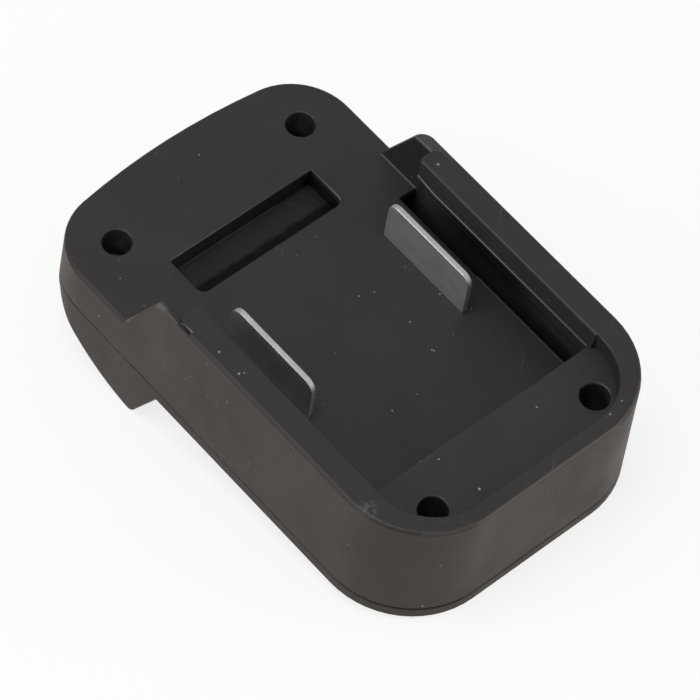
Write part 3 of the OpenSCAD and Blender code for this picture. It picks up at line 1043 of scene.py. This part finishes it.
class RECEIVER_OT_blades(bpy.types.Operator):
    """Build the two terminal blades with their sheared edges"""

    bl_idname = "receiver.blades"
    bl_label = "Terminal blades"

    def execute(self, context):
        s = context.scene.receiver_contacts
        face = plated_sheet("Tin-plated sheet, rolled face", tuple(s.blade_colour))
        rim = plated_sheet("Tin-plated sheet, sheared edge", tuple(s.blade_colour), sheared=True)
        for side in ("left", "right"):
            edged_copy(
                f"{side}_terminal_blade",
                f"blade_{side}",
                s.sheared_edge,
                s.edge_steps,
                s.edge_angle,
                [face, rim],
            )
        return {"FINISHED"}


class RECEIVER_OT_screws(bpy.types.Operator):
    """Build the four case screws"""

    bl_idname = "receiver.screws"
    bl_label = "Case screws"

    def execute(self, context):
        s = context.scene.receiver_contacts
        plate = zinc_plate("Zinc-plated screw steel", tuple(s.screw_colour))
        edged_copy("case_screws", "screws", s.screw_edge, s.edge_steps, s.edge_angle, [plate])
        return {"FINISHED"}


class RECEIVER_OT_stage(bpy.types.Operator):
    """Set up the floor, the lights, the plain sky and the camera"""

    bl_idname = "receiver.stage"
    bl_label = "Stage"

    def execute(self, context):
        s = context.scene.receiver_stage
        scene = context.scene

        # The floor touches the heel's lowest line and the rear lower edge of the cover
        low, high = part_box("bottom_cover")
        heel = Vector((0, s.heel_touch, low.z))
        rear = Vector((0, low.y, mount_at["underside"][2]))
        tilt = math.atan2(rear.z - heel.z, rear.y - heel.y)
        work = bmesh.new()
        bmesh.ops.create_grid(work, x_segments=4, y_segments=4, size=s.floor_size / 2)
        turn = Matrix.Translation(heel - Vector((0, 0, TOUCH))) @ Matrix.Rotation(tilt + math.pi, 4, "X")
        bmesh.ops.transform(work, matrix=turn, verts=work.verts)
        if work.faces[:][0].normal.z < 0:
            bmesh.ops.reverse_faces(work, faces=work.faces)
        board = painted_floor("Matt white board", tuple(s.floor_colour), s.whiteness)
        floor = new_piece("floor", work, [board])

        world = bpy.data.worlds.new("Plain sky")
        scene.world = world
        world.use_nodes = True
        world.node_tree.nodes.clear()
        cool_white = (0.95, 0.975, 1.0, 1.0)
        sky = add(
            world.node_tree, "ShaderNodeBackground", None, {"Color": cool_white, "Strength": s.sky}
        )
        add(world.node_tree, "ShaderNodeOutputWorld", None, {"Surface": sky.outputs["Background"]})

        for name, towards, distance, width, height, power, colour in SOFTBOXES:
            data = bpy.data.lights.new(name, "AREA")
            data.shape = "RECTANGLE"
            data.size = width
            data.size_y = height
            data.energy = power
            data.color = colour
            lamp = bpy.data.objects.new(name, data)
            scene.collection.objects.link(lamp)
            way = Vector(towards).normalized()
            lamp.location = way * distance
            lamp.rotation_euler = way.to_track_quat("Z", "Y").to_euler()

        # The camera stands where the photograph was taken from
        back = Vector(
            (
                math.sin(s.azimuth) * math.cos(s.elevation),
                -math.cos(s.azimuth) * math.cos(s.elevation),
                math.sin(s.elevation),
            )
        )
        right = Vector((0, 0, 1)).cross(back).normalized()
        up = back.cross(right)
        across_view = math.cos(s.roll) * right + math.sin(s.roll) * up
        up_view = -math.sin(s.roll) * right + math.cos(s.roll) * up
        data = bpy.data.cameras.new("Camera")
        data.sensor_width = 36.0
        data.lens = s.lens
        data.clip_start = 0.05
        data.clip_end = 20.0
        camera = bpy.data.objects.new("Camera", data)
        scene.collection.objects.link(camera)
        pose = Matrix((across_view, up_view, back)).transposed().to_4x4()
        pose.translation = Vector(s.target) + back * s.distance
        camera.matrix_world = pose
        scene.camera = camera
        scene.view_settings.view_transform = "Standard"
        return {"FINISHED"}


class RECEIVER_PT_panel(bpy.types.Panel):
    """Lists the pieces and the stage in the sidebar"""

    bl_idname = "RECEIVER_PT_panel"
    bl_label = "Battery receiver"
    bl_space_type = "VIEW_3D"
    bl_region_type = "UI"
    bl_category = "Receiver"

    def draw(self, context):
        layout = self.layout
        for operator in OPERATORS:
            layout.operator(operator.bl_idname)
        for group in (
            context.scene.receiver_moulding,
            context.scene.receiver_contacts,
            context.scene.receiver_stage,
        ):
            box = layout.box()
            for key in group.__annotations__:
                box.prop(group, key)


OPERATORS = (
    RECEIVER_OT_housing,
    RECEIVER_OT_beads,
    RECEIVER_OT_cover,
    RECEIVER_OT_flash,
    RECEIVER_OT_blades,
    RECEIVER_OT_screws,
    RECEIVER_OT_stage,
)
CLASSES = (MouldingSettings, ContactSettings, StageSettings) + OPERATORS + (RECEIVER_PT_panel,)


def register():
    """Make the settings, the operators and the panel known."""
    for cls in CLASSES:
        bpy.utils.register_class(cls)
    bpy.types.Scene.receiver_moulding = PointerProperty(type=MouldingSettings)
    bpy.types.Scene.receiver_contacts = PointerProperty(type=ContactSettings)
    bpy.types.Scene.receiver_stage = PointerProperty(type=StageSettings)


def unregister():
    """Take the settings, the operators and the panel away again."""
    del bpy.types.Scene.receiver_stage
    del bpy.types.Scene.receiver_contacts
    del bpy.types.Scene.receiver_moulding
    for cls in reversed(CLASSES):
        bpy.utils.unregister_class(cls)


def main():
    """Build every piece and the stage."""
    register()
    bpy.ops.receiver.housing()
    bpy.ops.receiver.beads()
    bpy.ops.receiver.cover()
    bpy.ops.receiver.flash()
    bpy.ops.receiver.blades()
    bpy.ops.receiver.screws()
    bpy.ops.receiver.stage()


if __name__ == "__main__":
    main()
